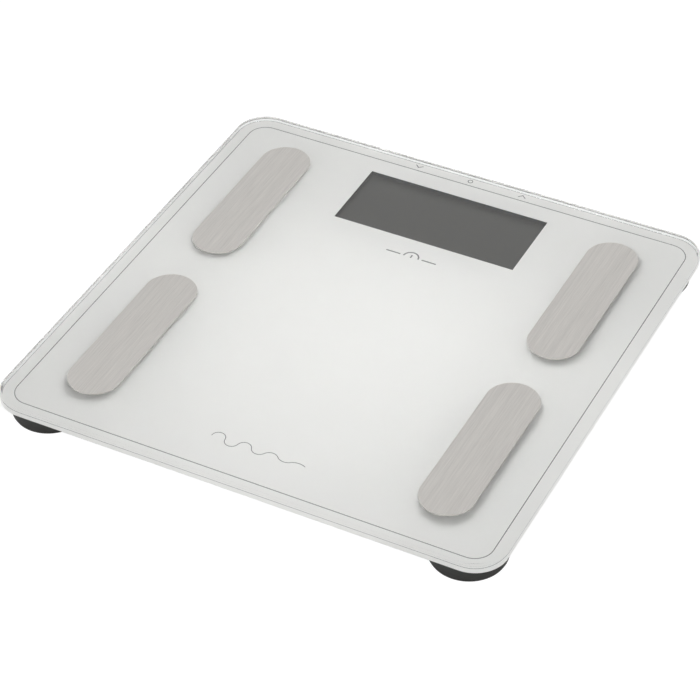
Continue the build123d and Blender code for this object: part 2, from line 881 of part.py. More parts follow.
def make_load_cell_wires():
    """Three wires from each foot to its header."""
    wires = []
    for name, (side_x, side_y) in corners.items():
        for lane in load_cell_lanes:
            points = run_points(name, lane)
            points[0] = (points[0][0] - side_x * (base_neck_radius - base_wall), points[0][1])
            wires.append(round_wire(points, run_bend - lane * wire_pitch))
    return group(wires)


def electrode_wire_points(side_x, side_y):
    """A wire's start at its ring terminal, its bend into the front run beside it, and its end."""
    run = "front_left" if side_x < 0 else "front_right"
    x, y = stud_place(side_x, side_y)
    corner_x, end_y = run_points(run, electrode_lanes[side_y])[-1]
    return [(x - side_x * terminal_tail, y), (corner_x, y), (corner_x, end_y)]


def make_electrode_wires():
    return group([round_wire(electrode_wire_points(*sides), wire_bend) for sides in corners.values()])


def wall_tunnel(middle, along_x):
    """A way for a run's wires through a wall, centred on a point in plan."""
    low = wire_height - wire_radius - fit_gap
    high = wire_height + wire_radius + fit_gap
    width = channel_width - 2 * channel_wall
    reach = 3 * housing_wall
    x_size, y_size = (reach, width) if along_x else (width, reach)
    return block(x_size, y_size, low, high, *middle)


def wire_tunnels():
    """The runs' ways through the housing's walls."""
    tunnels = []
    for name, (side_x, side_y) in corners.items():
        end_x, end_y = run_points(name)[-1]
        if side_y < 0:
            tunnels.append(wall_tunnel((end_x, housing_front), False))
        else:
            tunnels.append(wall_tunnel((side_x * housing_width / 2, end_y), True))
    return tunnels


def base_tunnel(name):
    """The wires' way through the wall of a foot's base."""
    side_x, side_y = corners[name]
    x, y = run_points(name)[0]
    return wall_tunnel((x - side_x * base_neck_radius, y), True)


def build():
    """Every node by name."""
    border_line = make_border_line()
    key_icons = make_key_icons()
    dial_mark = make_dial_mark()
    wave_mark = make_wave_mark()
    nodes = {
        "glass_plate": make_glass_plate(),
        "white_enamel": make_enamel([border_line, key_icons, dial_mark, wave_mark]),
        "border_line": border_line,
        "key_icons": key_icons,
        "dial_mark": dial_mark,
        "wave_mark": wave_mark,
        "electrode_tapes": make_electrode_tapes(),
        "electrode_studs": make_studs(),
        "stud_nuts": make_nuts(),
        "ring_terminals": make_ring_terminals(),
        "electrode_wires": make_electrode_wires(),
        "load_cell_wires": make_load_cell_wires(),
        "mounting_tapes": make_mounting_tapes(),
        "housing_tray": make_housing_tray(wire_tunnels()),
        "housing_cover": make_housing_cover(),
        "housing_screws": make_housing_screws(),
        "lcd_bezel": make_lcd_bezel(),
        "lcd_front_pane": make_lcd_front_pane(),
        "lcd_back_pane": make_lcd_back_pane(),
        "zebra_strips": make_zebra_strips(),
        "circuit_board": make_circuit_board(),
        "board_screws": make_board_screws(),
        "controller_chip": make_chip(-1, chip_size),
        "amplifier_chip": make_chip(1, amplifier_size),
        "wire_headers": make_wire_headers(),
        "key_switches": make_key_switches(),
        "unit_button": make_unit_button(),
        "unit_dome": make_unit_dome(),
        "battery_door": make_battery_door(),
        "coin_cells": make_coin_cells(),
        "cell_top_contacts": make_top_contacts(),
        "cell_side_contacts": make_side_contacts(),
    }
    for name, x in key_xs().items():
        nodes[name] = make_key(x)
    gauges = []
    for name, (side_x, side_y) in corners.items():
        place = Pos(side_x * foot_x, side_y * foot_y, 0)
        nodes[f"electrode_{name}"] = make_electrode(side_x, side_y)
        nodes[f"cable_channel_{name}"] = make_channel(name)
        nodes[f"foot_base_{name}"] = place * make_foot_base(name) - base_tunnel(name)
        nodes[f"load_cell_{name}"] = place * make_load_cell()
        nodes[f"foot_cap_{name}"] = place * make_foot_cap()
        nodes[f"foot_pad_{name}"] = place * make_foot_pad()
        gauges.append(place * make_gauge())
    nodes["strain_gauges"] = group(gauges)
    return nodes


os.makedirs("parts", exist_ok=True)
for node_name, shape in build().items():
    export_step(shape, f"parts/{node_name}.step")
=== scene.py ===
import json
import bpy
import numpy as np
from mathutils import Matrix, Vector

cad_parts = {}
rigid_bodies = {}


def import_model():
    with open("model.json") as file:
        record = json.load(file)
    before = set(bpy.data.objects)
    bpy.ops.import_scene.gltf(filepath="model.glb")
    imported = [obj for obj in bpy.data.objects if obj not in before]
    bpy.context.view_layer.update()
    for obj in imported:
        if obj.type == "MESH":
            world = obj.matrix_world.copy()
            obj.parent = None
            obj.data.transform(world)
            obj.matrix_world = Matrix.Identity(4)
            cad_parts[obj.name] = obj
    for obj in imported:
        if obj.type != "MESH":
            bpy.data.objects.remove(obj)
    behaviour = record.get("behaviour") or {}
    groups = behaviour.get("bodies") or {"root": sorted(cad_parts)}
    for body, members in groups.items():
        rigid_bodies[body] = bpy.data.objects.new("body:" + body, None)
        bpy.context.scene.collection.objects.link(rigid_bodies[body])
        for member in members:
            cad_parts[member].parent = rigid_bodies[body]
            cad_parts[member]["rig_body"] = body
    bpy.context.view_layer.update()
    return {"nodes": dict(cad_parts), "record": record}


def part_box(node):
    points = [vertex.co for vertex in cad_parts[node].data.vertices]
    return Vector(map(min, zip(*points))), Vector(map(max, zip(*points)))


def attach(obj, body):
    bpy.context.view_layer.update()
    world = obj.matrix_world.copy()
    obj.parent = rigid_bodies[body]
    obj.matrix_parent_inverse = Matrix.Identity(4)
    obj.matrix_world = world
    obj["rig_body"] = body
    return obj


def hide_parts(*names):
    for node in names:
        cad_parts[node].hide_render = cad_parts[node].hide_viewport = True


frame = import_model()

mm = 0.001
nodes = frame["nodes"]
cornerNames = ["front_left", "front_right", "back_left", "back_right"]


cameraSet = {
    "azimuth": 27.411,                  # degrees round from looking along +Y
    "elevation": 40.242,
    "roll": -0.66,
    "distance": 1.44612,                # metres from the aim
    "aim": (-0.0004, -0.0117, 0.0028),
    "lens": 133.4,                      # millimetres, as is the sensor
    "sensor": 36.0,
    "farClip": 50,
}

studio = {
    "floorSize": 14.0,
    "floorColour": (0.93, 0.93, 0.93, 1),
    "floorRough": 0.9,
    "floorGlow": 1.1,                   # the floor is burnt out to white where it is seen straight
    "glowShare": 0.9,                   # how much of that glow a straight view of the floor has
    "glassShare": 0.45,                 # and a view of it through the clear plate
    "liftShare": 0.35,                  # and the light it throws up at the underside
    "skyColour": (1.0, 1.0, 1.0, 1),
    "skyStrength": 0.71,
    "lampPlace": (0.0, 0.01, 0.36),     # a soft disc over the middle, which no surface mirrors
    "lampSize": 0.24,
    "lampWatts": 1.34,
}


# A wrapped socket of a node, so that shader sums are written as they read.
class Flow:
    def __init__(self, tree, socket=None):
        self.tree = tree
        self.socket = socket

    # any node: its type, its settings, then the values or links of its inputs by name or number
    def add(self, kind, settings=None, sockets=None, out=0):
        node = self.tree.nodes.new(kind)
        for key, value in (settings or {}).items():
            setattr(node, key, value)
        for key, value in (sockets or {}).items():
            if isinstance(value, Flow):
                self.tree.links.new(value.socket, node.inputs[key])
            else:
                node.inputs[key].default_value = value
        return Flow(self.tree, node.outputs[out] if node.outputs else None)

    def maths(self, operation, first, second=0.0, clamp=False):
        settings = {"operation": operation, "use_clamp": clamp}
        return self.add("ShaderNodeMath", settings, {0: first, 1: second})

    def __add__(self, other):
        return self.maths("ADD", self, other)

    def __radd__(self, other):
        return self.maths("ADD", other, self)

    def __sub__(self, other):
        return self.maths("SUBTRACT", self, other)

    def __rsub__(self, other):
        return self.maths("SUBTRACT", other, self)

    def __mul__(self, other):
        return self.maths("MULTIPLY", self, other)

    def __rmul__(self, other):
        return self.maths("MULTIPLY", other, self)

    def __truediv__(self, other):
        return self.maths("DIVIDE", self, other)

    def __rtruediv__(self, other):
        return self.maths("DIVIDE", other, self)

    def __pow__(self, other):
        return self.maths("POWER", self, other)

    def clamped(self):
        return self.maths("ADD", self, 0.0, clamp=True)

    # blend of two colours by a value
    def between(self, dark, light):
        settings = {"data_type": "RGBA"}
        return self.add("ShaderNodeMix", settings, {"Factor": self, 6: dark, 7: light}, out=2)


# a new material with its tree and the coordinates of its own object
def startMaterial(name):
    material = bpy.data.materials.new(name)
    material.use_nodes = True
    tree = material.node_tree
    tree.nodes.clear()
    flow = Flow(tree)
    place = flow.add("ShaderNodeTexCoord", out=3)
    return material, flow, place


# the last step: one shader with its plain values set on it and its varying ones linked
def endMaterial(material, flow, values):
    shader = flow.add("ShaderNodeBsdfPrincipled", None, values)
    flow.add("ShaderNodeOutputMaterial", None, {"Surface": shader})
    return material


def grainNoise(flow, place, scale, detail=2.0, rough=0.5, stretch=(1.0, 1.0, 1.0)):
    stretched = flow.add("ShaderNodeMapping", None, {"Vector": place, "Scale": stretch})
    return flow.add("ShaderNodeTexNoise", None,
                    {"Vector": stretched, "Scale": scale, "Detail": detail, "Roughness": rough})


def bumpFrom(flow, height, strength, distance):
    return flow.add("ShaderNodeBump", None,
                    {"Height": height, "Strength": strength, "Distance": distance})


def shade(colour, factor):
    return tuple(min(1.0, part * factor) for part in colour) + (1,)


def makeCamera(look):
    turn, lift, roll = np.radians([look["azimuth"], look["elevation"], look["roll"]])
    back = np.array([np.sin(turn) * np.cos(lift), -np.cos(turn) * np.cos(lift), np.sin(lift)])
    level = np.array([np.cos(turn), np.sin(turn), 0.0])
    rise = np.cross(back, level)
    right = level * np.cos(roll) + rise * np.sin(roll)
    up = np.cross(back, right)
    camera = bpy.data.objects.new("camera", bpy.data.cameras.new("camera"))
    camera.data.lens = look["lens"]
    camera.data.sensor_width = look["sensor"]
    camera.data.clip_end = look["farClip"]
    place = np.eye(4)
    place[:3, :3] = np.stack([right, up, back], axis=1)
    place[:3, 3] = np.array(look["aim"]) + back * look["distance"]
    camera.matrix_world = Matrix(place.tolist())
    bpy.context.scene.collection.objects.link(camera)
    bpy.context.scene.camera = camera


def makeStudio(look):
    half = look["floorSize"] / 2
    floorMesh = bpy.data.meshes.new("floor")
    spots = [(-half, -half, 0), (half, -half, 0), (half, half, 0), (-half, half, 0)]
    floorMesh.from_pydata(spots, [], [(0, 1, 2, 3)])
    floor = bpy.data.objects.new("floor", floorMesh)
    bpy.context.scene.collection.objects.link(floor)
    paint, flow, place = startMaterial("paleFloor")
    matt = flow.add("ShaderNodeBsdfPrincipled", None, {
        "Base Color": look["floorColour"], "Roughness": look["floorRough"], "Specular IOR Level": 0.0})
    glow = flow.add("ShaderNodeEmission", None, {"Strength": look["floorGlow"]})
    straight = flow.add("ShaderNodeLightPath", out="Is Camera Ray")
    through = flow.add("ShaderNodeLightPath", out="Is Transmission Ray")
    spread = flow.add("ShaderNodeLightPath", out="Is Diffuse Ray")
    share = straight * look["glowShare"] + through * look["glassShare"] + spread * look["liftShare"]
    blend = flow.add("ShaderNodeMixShader", None, {0: share, 1: matt, 2: glow})
    # seen from below the floor is clear, so the underside can be looked at
    behind = flow.add("ShaderNodeNewGeometry", out="Backfacing")
    clear = flow.add("ShaderNodeBsdfTransparent")
    sided = flow.add("ShaderNodeMixShader", None, {0: behind, 1: blend, 2: clear})
    flow.add("ShaderNodeOutputMaterial", None, {"Surface": sided})
    floorMesh.materials.append(paint)
    world = bpy.data.worlds.new("softSky")
    world.use_nodes = True
    sky = world.node_tree.nodes["Background"]
    sky.inputs["Color"].default_value = look["skyColour"]
    sky.inputs["Strength"].default_value = look["skyStrength"]
    bpy.context.scene.world = world
    lamp = bpy.data.objects.new("topLamp", bpy.data.lights.new("topLamp", "AREA"))
    lamp.data.shape = "DISK"
    lamp.data.size = look["lampSize"]
    lamp.data.energy = look["lampWatts"]
    lamp.location = look["lampPlace"]
    lamp.visible_camera = False
    lamp.visible_glossy = False
    bpy.context.scene.collection.objects.link(lamp)
    bpy.context.scene.view_settings.view_transform = "Standard"


makeCamera(cameraSet)
makeStudio(studio)
print("stage: camera, floor and light")


glassLook = {
    "tint": (0.98, 0.99, 0.985, 1),
    "index": 1.52,
    "polish": 0.004,
    "smear": 0.01,                      # how much rougher the wiping marks are
    "smearScale": 14.0,
    "ground": 0.22,                     # how rough the slanted arrises are
    "slantLow": 0.3,                    # upright share of a normal where the arrises begin
    "slantHigh": 0.95,                  # and where they end
    "slantFade": 8.0,
}


# clear plate: polished, with a very faint cloud of wiping marks, and ground where it slants
def clearGlass(name, look):
    material, flow, place = startMaterial(name)
    wiped = grainNoise(flow, place, look["smearScale"], 3.0, 0.6, (1.0, 3.0, 1.0))
    facing = flow.add("ShaderNodeTexCoord", out=1)
    height = flow.add("ShaderNodeSeparateXYZ", None, {0: facing}, out=2)
    slant = flow.maths("ABSOLUTE", height)
    steepEnough = ((slant - look["slantLow"]) * look["slantFade"]).clamped()
    flatEnough = ((look["slantHigh"] - slant) * look["slantFade"]).clamped()
    ground = steepEnough * flatEnough
    return endMaterial(material, flow, {
        "Base Color": look["tint"],
        "Roughness": wiped * look["smear"] + look["polish"] + ground * look["ground"],
        "IOR": look["index"], "Transmission Weight": 1.0})


skinHeight = 0.05 * mm
streakHeight = 0.03 * mm


# moulded plastic, resin and rubber: a fine spark-eroded skin and slight cloudiness
def mouldedFinish(name, look):
    material, flow, place = startMaterial(name)
    cloud = grainNoise(flow, place, look.get("cloudScale", 60.0), 3.0)
    skin = grainNoise(flow, place, look.get("skinScale", 2600.0), 1.0)
    spread = look.get("spread", 0.04)
    colour = cloud.between(shade(look["colour"], 1 - spread), shade(look["colour"], 1 + spread))
    roughSpread = look.get("roughSpread", 0.08)
    rough = cloud * roughSpread + (look["rough"] - roughSpread / 2)
    return endMaterial(material, flow, {
        "Base Color": colour, "Roughness": rough, "IOR": look.get("index", 1.46),
        "Normal": bumpFrom(flow, skin, look.get("skin", 0.25), skinHeight)})


# printed coat: an even tone that turns to a painted shade in a thin band round its outline, a square
# with round corners; the grey band stands in for the shaded floor seen through the glass's lower arris.
# The distance past the corner centres is sqrt(x*x + y*y) of what is beyond them.
def coatFinish(name, look):
    material, flow, place = startMaterial(name)
    cloud = grainNoise(flow, place, look["cloudScale"], 3.0)
    spread = look["spread"]
    even = cloud.between(shade(look["colour"], 1 - spread), shade(look["colour"], 1 + spread))
    beyond = []
    for axis in (0, 1):
        along = flow.maths("ABSOLUTE", flow.add("ShaderNodeSeparateXYZ", None, {0: place}, out=axis))
        beyond.append(flow.maths("MAXIMUM", along - (look["half"] - look["radius"]), 0.0))
    outward = (beyond[0] * beyond[0] + beyond[1] * beyond[1]) ** 0.5
    # painted shade: a grey band round the outline stands for the shaded floor seen through the glass's
    # lower arris
    paintedShadeBand = ((outward - (look["radius"] - look["edge"])) / (look["edge"] * look["fade"])).clamped()
    colour = paintedShadeBand.between(even, look["shadeBandColour"])
    return endMaterial(material, flow, {
        "Base Color": colour, "Roughness": look["rough"], "IOR": look["index"]})


fineShare = 0.65                        # share of the fine streaks in all of them


# drawn or ground metal: streaks along one axis in colour, gloss and height
def brushedFinish(name, look):
    material, flow, place = startMaterial(name)
    stretch = look.get("stretch", (1.0, 0.012, 1.0))
    fine = grainNoise(flow, place, look.get("fineScale", 5200.0), 2.0, 0.6, stretch)
    broad = grainNoise(flow, place, look.get("broadScale", 900.0), 2.0, 0.5, stretch)
    streak = fine * fineShare + broad * (1 - fineShare)
    contrast = look.get("contrast", 2.2)
    pulled = ((streak - 0.5) * contrast + 0.5).clamped()
    spread = look.get("spread", 0.09)
    colour = pulled.between(shade(look["colour"], 1 - spread), shade(look["colour"], 1 + spread))
    rough = look["rough"] + (pulled - 0.5) * look.get("roughSpread", 0.12)
    return endMaterial(material, flow, {
        "Base Color": colour, "Metallic": 1.0, "Roughness": rough,
        "Normal": bumpFrom(flow, streak, look.get("depth", 0.35), streakHeight)})


# display face: a dark even film with the slightest drift in tone
def displayFinish(name, look):
    material, flow, place = startMaterial(name)
    drift = grainNoise(flow, place, 8.0, 1.0)
    grit = grainNoise(flow, place, 3000.0, 1.0)
    tone = drift * look["driftShare"] + grit * (1 - look["driftShare"])
    spread = look["spread"]
    colour = tone.between(shade(look["colour"], 1 - spread), shade(look["colour"], 1 + spread))
    rough = look["rough"] + grit * look["roughSpread"]
    return endMaterial(material, flow, {"Base Color": colour, "Roughness": rough, "IOR": look["index"]})


# circuit board: lacquered laminate with a grid of lighter tracks
def boardFinish(name, look):
    material, flow, place = startMaterial(name)
    tracks = flow.add("ShaderNodeTexBrick", {"offset": 0.5}, {
        "Vector": place, "Scale": look["trackScale"], "Mortar Size": look["trackWidth"],
        "Color1": (0, 0, 0, 1), "Color2": (0.15, 0.15, 0.15, 1), "Mortar": (1, 1, 1, 1)}, out=1)
    weave = grainNoise(flow, place, 900.0, 2.0)
    mask = (tracks * look["trackShare"] + weave * (1 - look["trackShare"])).clamped()
    colour = mask.between(shade(look["colour"], 0.85), look["track"])
    return endMaterial(material, flow, {
        "Base Color": colour, "Roughness": look["rough"] + weave * look["roughSpread"],
        "Normal": bumpFrom(flow, mask, look["trackDepth"], skinHeight)})


# contact rubber: narrow dark stripes across a pale strip
def stripedFinish(name, look):
    material, flow, place = startMaterial(name)
    stripe = flow.add("ShaderNodeTexWave", {"bands_direction": "X"},
                      {"Vector": place, "Scale": look["scale"]}, out=1)
    colour = stripe.between(shade(look["colour"], look["dark"]), shade(look["colour"], look["light"]))
    rough = look["rough"] + stripe * look["roughSpread"]
    return endMaterial(material, flow, {"Base Color": colour, "Roughness": rough})


plasticLooks = {
    "grey_ink": {"colour": (0.2, 0.2, 0.2), "rough": 0.5, "spread": 0.06, "skin": 0.1},
    "grey_foam_tape": {"colour": (0.8, 0.8, 0.79), "rough": 0.85, "spread": 0.15,
                       "skinScale": 1500.0, "skin": 0.8},
    "grey_wire": {"colour": (0.4, 0.4, 0.4), "rough": 0.5},
    "red_wire": {"colour": (0.55, 0.04, 0.03), "rough": 0.5},
    "white_shell": {"colour": (0.74, 0.74, 0.73), "rough": 0.5, "spread": 0.015,
                    "skinScale": 1800.0, "skin": 0.5},
    "black_frame": {"colour": (0.022, 0.022, 0.02), "rough": 0.6},
    "chip_resin": {"colour": (0.02, 0.02, 0.02), "rough": 0.55, "skin": 0.6},
    "header_nylon": {"colour": (0.72, 0.69, 0.6), "rough": 0.5},
    "switch_body": {"colour": (0.04, 0.04, 0.04), "rough": 0.45},
    "dark_key": {"colour": (0.05, 0.05, 0.05), "rough": 0.45, "skin": 0.4},
    "light_key": {"colour": (0.42, 0.42, 0.41), "rough": 0.42, "skin": 0.4},
    "channel_plastic": {"colour": (0.7, 0.7, 0.69), "rough": 0.5, "spread": 0.02},
    "black_foot_plastic": {"colour": (0.03, 0.03, 0.028), "rough": 0.5, "skinScale": 1500.0, "skin": 0.5},
    "foot_rubber": {"colour": (0.016, 0.016, 0.015), "rough": 0.75, "skinScale": 1300.0, "skin": 0.7},
    "gauge_film": {"colour": (0.6, 0.34, 0.06), "rough": 0.35, "spread": 0.1},
    "display_back": {"colour": (0.06, 0.06, 0.058), "rough": 0.3},
}

coatLook = {
    "colour": (0.89, 0.885, 0.869),
    # painted shade: the grey of the band round the coat's outline
    "shadeBandColour": (0.3, 0.3, 0.3, 1),
    "spread": 0.008,
    "cloudScale": 60.0,
    "rough": 0.45,
    "index": 1.46,
    "half": 148.8 * mm,                 # half the coat's width, and its corner radius
    "radius": 17.8 * mm,
    "edge": 0.45 * mm,                  # width of the thin band of painted shade
    "fade": 0.3,                        # the share of it over which it sets in
}

metalLooks = {
    "brushed_pad_steel": {"colour": (0.745, 0.722, 0.69), "rough": 0.36, "spread": 0.12, "contrast": 2.6},
    "stud_steel": {"colour": (0.55, 0.55, 0.55), "rough": 0.35, "stretch": (1.0, 1.0, 0.1)},
    "screw_steel": {"colour": (0.5, 0.5, 0.51), "rough": 0.32, "stretch": (1.0, 1.0, 0.1)},
    "load_cell_steel": {"colour": (0.5, 0.5, 0.5), "rough": 0.38, "stretch": (0.03, 1.0, 1.0)},
    "cell_steel": {"colour": (0.66, 0.66, 0.65), "rough": 0.25, "stretch": (0.2, 0.2, 1.0)},
    "tinned_brass": {"colour": (0.62, 0.6, 0.52), "rough": 0.35, "stretch": (0.1, 1.0, 1.0)},
    "spring_brass": {"colour": (0.66, 0.5, 0.24), "rough": 0.3, "stretch": (1.0, 0.1, 1.0)},
}

displayLook = {
    "colour": (0.026, 0.0245, 0.0195),
    "spread": 0.06,
    "driftShare": 0.7,                  # share of the slow drift in its tone, the rest is fine grit
    "rough": 0.3,
    "roughSpread": 0.05,
    "index": 1.5,
}

boardLook = {
    "colour": (0.02, 0.13, 0.05),
    "track": (0.06, 0.26, 0.1, 1),
    "trackScale": 90.0,
    "trackWidth": 0.05,
    "trackDepth": 0.4,
    "trackShare": 0.8,                  # how far the tracks outweigh the weave
    "rough": 0.3,
    "roughSpread": 0.15,
}

stripeLook = {
    "colour": (0.5, 0.5, 0.5),
    "scale": 600.0,
    "dark": 0.3,                        # tones of the stripes, as shares of the colour
    "light": 1.1,
    "rough": 0.6,
    "roughSpread": 0.1,
}

finishes = {name: mouldedFinish(name, look) for name, look in plasticLooks.items()}
finishes.update({name: brushedFinish(name, look) for name, look in metalLooks.items()})
finishes["white_enamel"] = coatFinish("white_enamel", coatLook)
finishes["clear_glass"] = clearGlass("clear_glass", glassLook)
finishes["display_glass"] = displayFinish("display_glass", displayLook)
finishes["board_laminate"] = boardFinish("board_laminate", boardLook)
finishes["zebra_rubber"] = stripedFinish("zebra_rubber", stripeLook)
print("finishes:", len(finishes))

slots = {part["node"]: part["material_slot"] for part in frame["record"]["subparts"]}
for node, slotName in slots.items():
    nodes[node].data.materials.clear()
    nodes[node].data.materials.append(finishes[slotName])
print("finishes laid on", len(slots), "nodes")


sharpAngle = np.radians(32)


# marks edges as sharp, added to those that are so already or in their place
def markSharp(mesh, sharp, keep):
    marks = mesh.attributes.get("sharp_edge") or mesh.attributes.new("sharp_edge", "BOOLEAN", "EDGE")
    if keep:
        before = np.zeros(len(mesh.edges), bool)
        marks.data.foreach_get("value", before)
        sharp = sharp | before
    marks.data.foreach_set("value", sharp)
    mesh.update()


# A surface swept by a profile round an outline. Each outline point has a centre and a direction, each
# profile point a reach and a height, and a vertex is centre + reach * direction at that height.
# Both ends of the profile are closed by a face.
def sweptSurface(name, centres, angles, profile, node, turned=False):
    profile = np.array(profile, float)
    directions = np.stack([np.cos(angles), np.sin(angles)], axis=1)
    flat = centres[None] + profile[:, None, :1] * directions[None]
    heights = np.broadcast_to(profile[:, None, 1:], flat.shape[:2] + (1,))
    spots = np.concatenate([flat, heights], axis=2)
    if turned:                          # the profile's height runs along +Y instead of +Z
        spots = np.stack([spots[..., 0], spots[..., 2], spots[..., 1]], axis=-1)
        spots = spots[:, ::-1]
    rings, around = spots.shape[:2]
    row = np.arange(around)
    beside = np.roll(row, -1)
    level = np.arange(rings - 1)[:, None] * around
    quads = np.stack([level + row, level + beside, level + around + beside, level + around + row], axis=-1)
    faces = quads.reshape(-1, 4).tolist()
    faces.append(row[::-1].tolist())
    faces.append((row + (rings - 1) * around).tolist())
    mesh = bpy.data.meshes.new(name)
    mesh.from_pydata(spots.reshape(-1, 3).tolist(), [], faces)
    mesh.update()
    mesh.shade_smooth()
    mesh.set_sharp_from_angle(angle=sharpAngle)
    # both closing faces have a sharp outline: edges with both ends in the first or the last ring
    ends = np.empty(len(mesh.edges) * 2, int)
    mesh.edges.foreach_get("vertices", ends)
    ring = ends.reshape(-1, 2) // around
    markSharp(mesh, (ring == 0).all(axis=1) | (ring == rings - 1).all(axis=1), keep=True)
    piece = bpy.data.objects.new(name, mesh)
    bpy.context.scene.collection.objects.link(piece)
    slotName = slots[node]
    mesh.materials.append(finishes[slotName])
    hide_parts(node)
    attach(piece, nodes[node]["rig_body"])
    return piece


# outline of a block with round corners: four centres, each with a quarter turn of directions, and
# where it has a hold, one more point that far past each end of a corner, so the flats shade as flats
def roundedOutline(halfX, halfY, radius, steps, middle=(0.0, 0.0), hold=0.0):
    quarter = np.linspace(0, np.pi / 2, steps + 1)
    signs = np.array([(1, 1), (-1, 1), (-1, -1), (1, -1)], float)
    corners = signs * (np.array([halfX, halfY]) - radius) + np.array(middle)
    if hold:
        quarter = np.concatenate([[0], quarter, [np.pi / 2]])
    angles = np.concatenate([quarter + turn * np.pi / 2 for turn in range(4)])
    centres = np.repeat(corners, len(quarter), axis=0).reshape(4, -1, 2)
    if hold:
        starts = angles.reshape(4, -1)[:, 0]
        ends = angles.reshape(4, -1)[:, -1]
        centres[:, 0] += hold * np.stack([np.sin(starts), -np.cos(starts)], axis=1)
        centres[:, -1] += hold * np.stack([-np.sin(ends), np.cos(ends)], axis=1)
    return centres.reshape(-1, 2), angles


# outline of a circle
def roundOutline(steps, middle):
    angles = np.linspace(0, 2 * np.pi, steps, endpoint=False)
    return np.tile(np.array(middle, float), (steps, 1)), angles


# A profile's inner points, each softened into a short parabola: points at (1-t)^2, 2t(1-t) and t^2
# of its start, its corner and its end. A point just past each end lets the flats shade as flats.
def softened(points, radius, steps=3, hold=0.02 * mm):
    points = np.array(points, float)
    ahead = np.diff(points, axis=0)
    ahead /= np.linalg.norm(ahead, axis=1)[:, None]
    t = np.linspace(0, 1, steps + 1)[:, None]
    made = [points[:1]]
    for corner, before, after in zip(points[1:-1], ahead[:-1], ahead[1:]):
        start, end = corner - before * radius, corner + after * radius
        curve = (1 - t) ** 2 * start + 2 * t * (1 - t) * corner + t ** 2 * end
        made += [start[None] - before * hold, curve, end[None] + after * hold]
    made.append(points[-1:])
    return np.concatenate(made).tolist()


# points of a quarter round between two straight stretches of a profile
def quarterRound(reach, height, radius, start, steps):
    angles = np.radians(start) + np.linspace(0, np.pi / 2, steps + 1)
    return [(reach + radius * np.cos(angle), height + radius * np.sin(angle)) for angle in angles]


def boxOf(node):
    low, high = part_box(node)
    return np.array(low), np.array(high)


glassPiece = {
    "cornerRadius": 19.0 * mm,
    "arris": 1.2 * mm,                  # the ground bevel along both edges
    "soft": 0.15 * mm,                  # how far its corners are rubbed down
    "cornerSteps": 48,
    "hold": 0.03 * mm,
    "bond": 0.01 * mm,                  # how far the glass wets the coat below and the tape above
    "holeRadius": 2.5 * mm,
    "holeSteps": 40,
    "studRadius": 1.5 * mm,
}


def makeGlass(spec):
    low, high = boxOf("glass_plate")
    bottom, top = low[2] - spec["bond"], high[2] + spec["bond"] / 2
    arris, radius, hold = spec["arris"], spec["cornerRadius"], spec["hold"]
    centres, angles = roundedOutline(high[0], high[1], radius, spec["cornerSteps"], hold=hold)
    inside = radius - 2 * arris
    wall = [(inside, bottom), (radius - arris, bottom), (radius, bottom + arris), (radius, top - arris),
            (radius - arris, top), (inside, top)]
    plate = sweptSurface("glassPlate", centres, angles, softened(wall, spec["soft"]), "glass_plate")
    # the studs' holes are cut by round bars that run past both faces
    studLow, studHigh = boxOf("electrode_studs")
    reach = (studHigh[:2] - studLow[:2]) / 2 - spec["studRadius"]
    bars = []
    for sideX in (-1, 1):
        for sideY in (-1, 1):
            holeCentres, holeAngles = roundOutline(spec["holeSteps"], (sideX * reach[0], sideY * reach[1]))
            bars.append(cutter(holeCentres, holeAngles, spec["holeRadius"], bottom - mm, top + mm))
    for bar in bars:
        cut = plate.modifiers.new("hole", "BOOLEAN")
        cut.operation = "DIFFERENCE"
        cut.solver = "EXACT"
        cut.object = bar
    settled = bpy.data.meshes.new_from_object(plate.evaluated_get(bpy.context.evaluated_depsgraph_get()))
    plate.modifiers.clear()
    plate.data = settled
    settled.name = "glassPlate"
    for bar in bars:
        bpy.data.objects.remove(bar)
    sharpenLevels(settled, (bottom, top))
    return plate


sameLevel = 0.001 * mm


# every edge that lies wholly in one of the given levels is a sharp one
def sharpenLevels(mesh, levels):
    heights = np.empty(len(mesh.vertices) * 3)
    mesh.vertices.foreach_get("co", heights)
    ends = np.empty(len(mesh.edges) * 2, int)
    mesh.edges.foreach_get("vertices", ends)
    heights = heights[2::3][ends.reshape(-1, 2)]
    sharp = np.zeros(len(mesh.edges), bool)
    for level in levels:
        sharp |= (np.abs(heights - level) < sameLevel).all(axis=1)
    markSharp(mesh, sharp, keep=False)


# a plain round bar, used only to cut with
def cutter(centres, angles, radius, low, high):
    around = np.stack([np.cos(angles), np.sin(angles)], axis=1) * radius + centres
    count = len(angles)
    spots = np.concatenate([np.column_stack([around, np.full(count, level)]) for level in (low, high)])
    row = np.arange(count)
    beside = np.roll(row, -1)
    faces = np.stack([row, beside, beside + count, row + count], axis=1).tolist()
    faces += [row[::-1].tolist(), (row + count).tolist()]
    mesh = bpy.data.meshes.new("bar")
    mesh.from_pydata(spots.tolist(), [], faces)
    bar = bpy.data.objects.new("bar", mesh)
    bpy.context.scene.collection.objects.link(bar)
    return bar


electrodePiece = {
    "rim": 0.35 * mm,                   # rounding of the upper edge
    "rimSteps": 6,
    "endSteps": 48,
    "foot": 0.06 * mm,                  # small bevel of the lower edge
}


def makeElectrodes(spec):
    for corner in cornerNames:
        node = "electrode_" + corner
        low, high = boxOf(node)
        middle, half = (low + high) / 2, (high - low) / 2
        radius = half[0]
        centres, angles = roundedOutline(half[0], half[1], radius, spec["endSteps"], middle[:2])
        foot, rim = spec["foot"], spec["rim"]
        profile = [(radius - foot, low[2]), (radius, low[2] + foot)]
        profile += quarterRound(radius - rim, high[2] - rim, rim, 0, spec["rimSteps"])
        sweptSurface("electrode" + corner.title().replace("_", ""), centres, angles, profile, node)


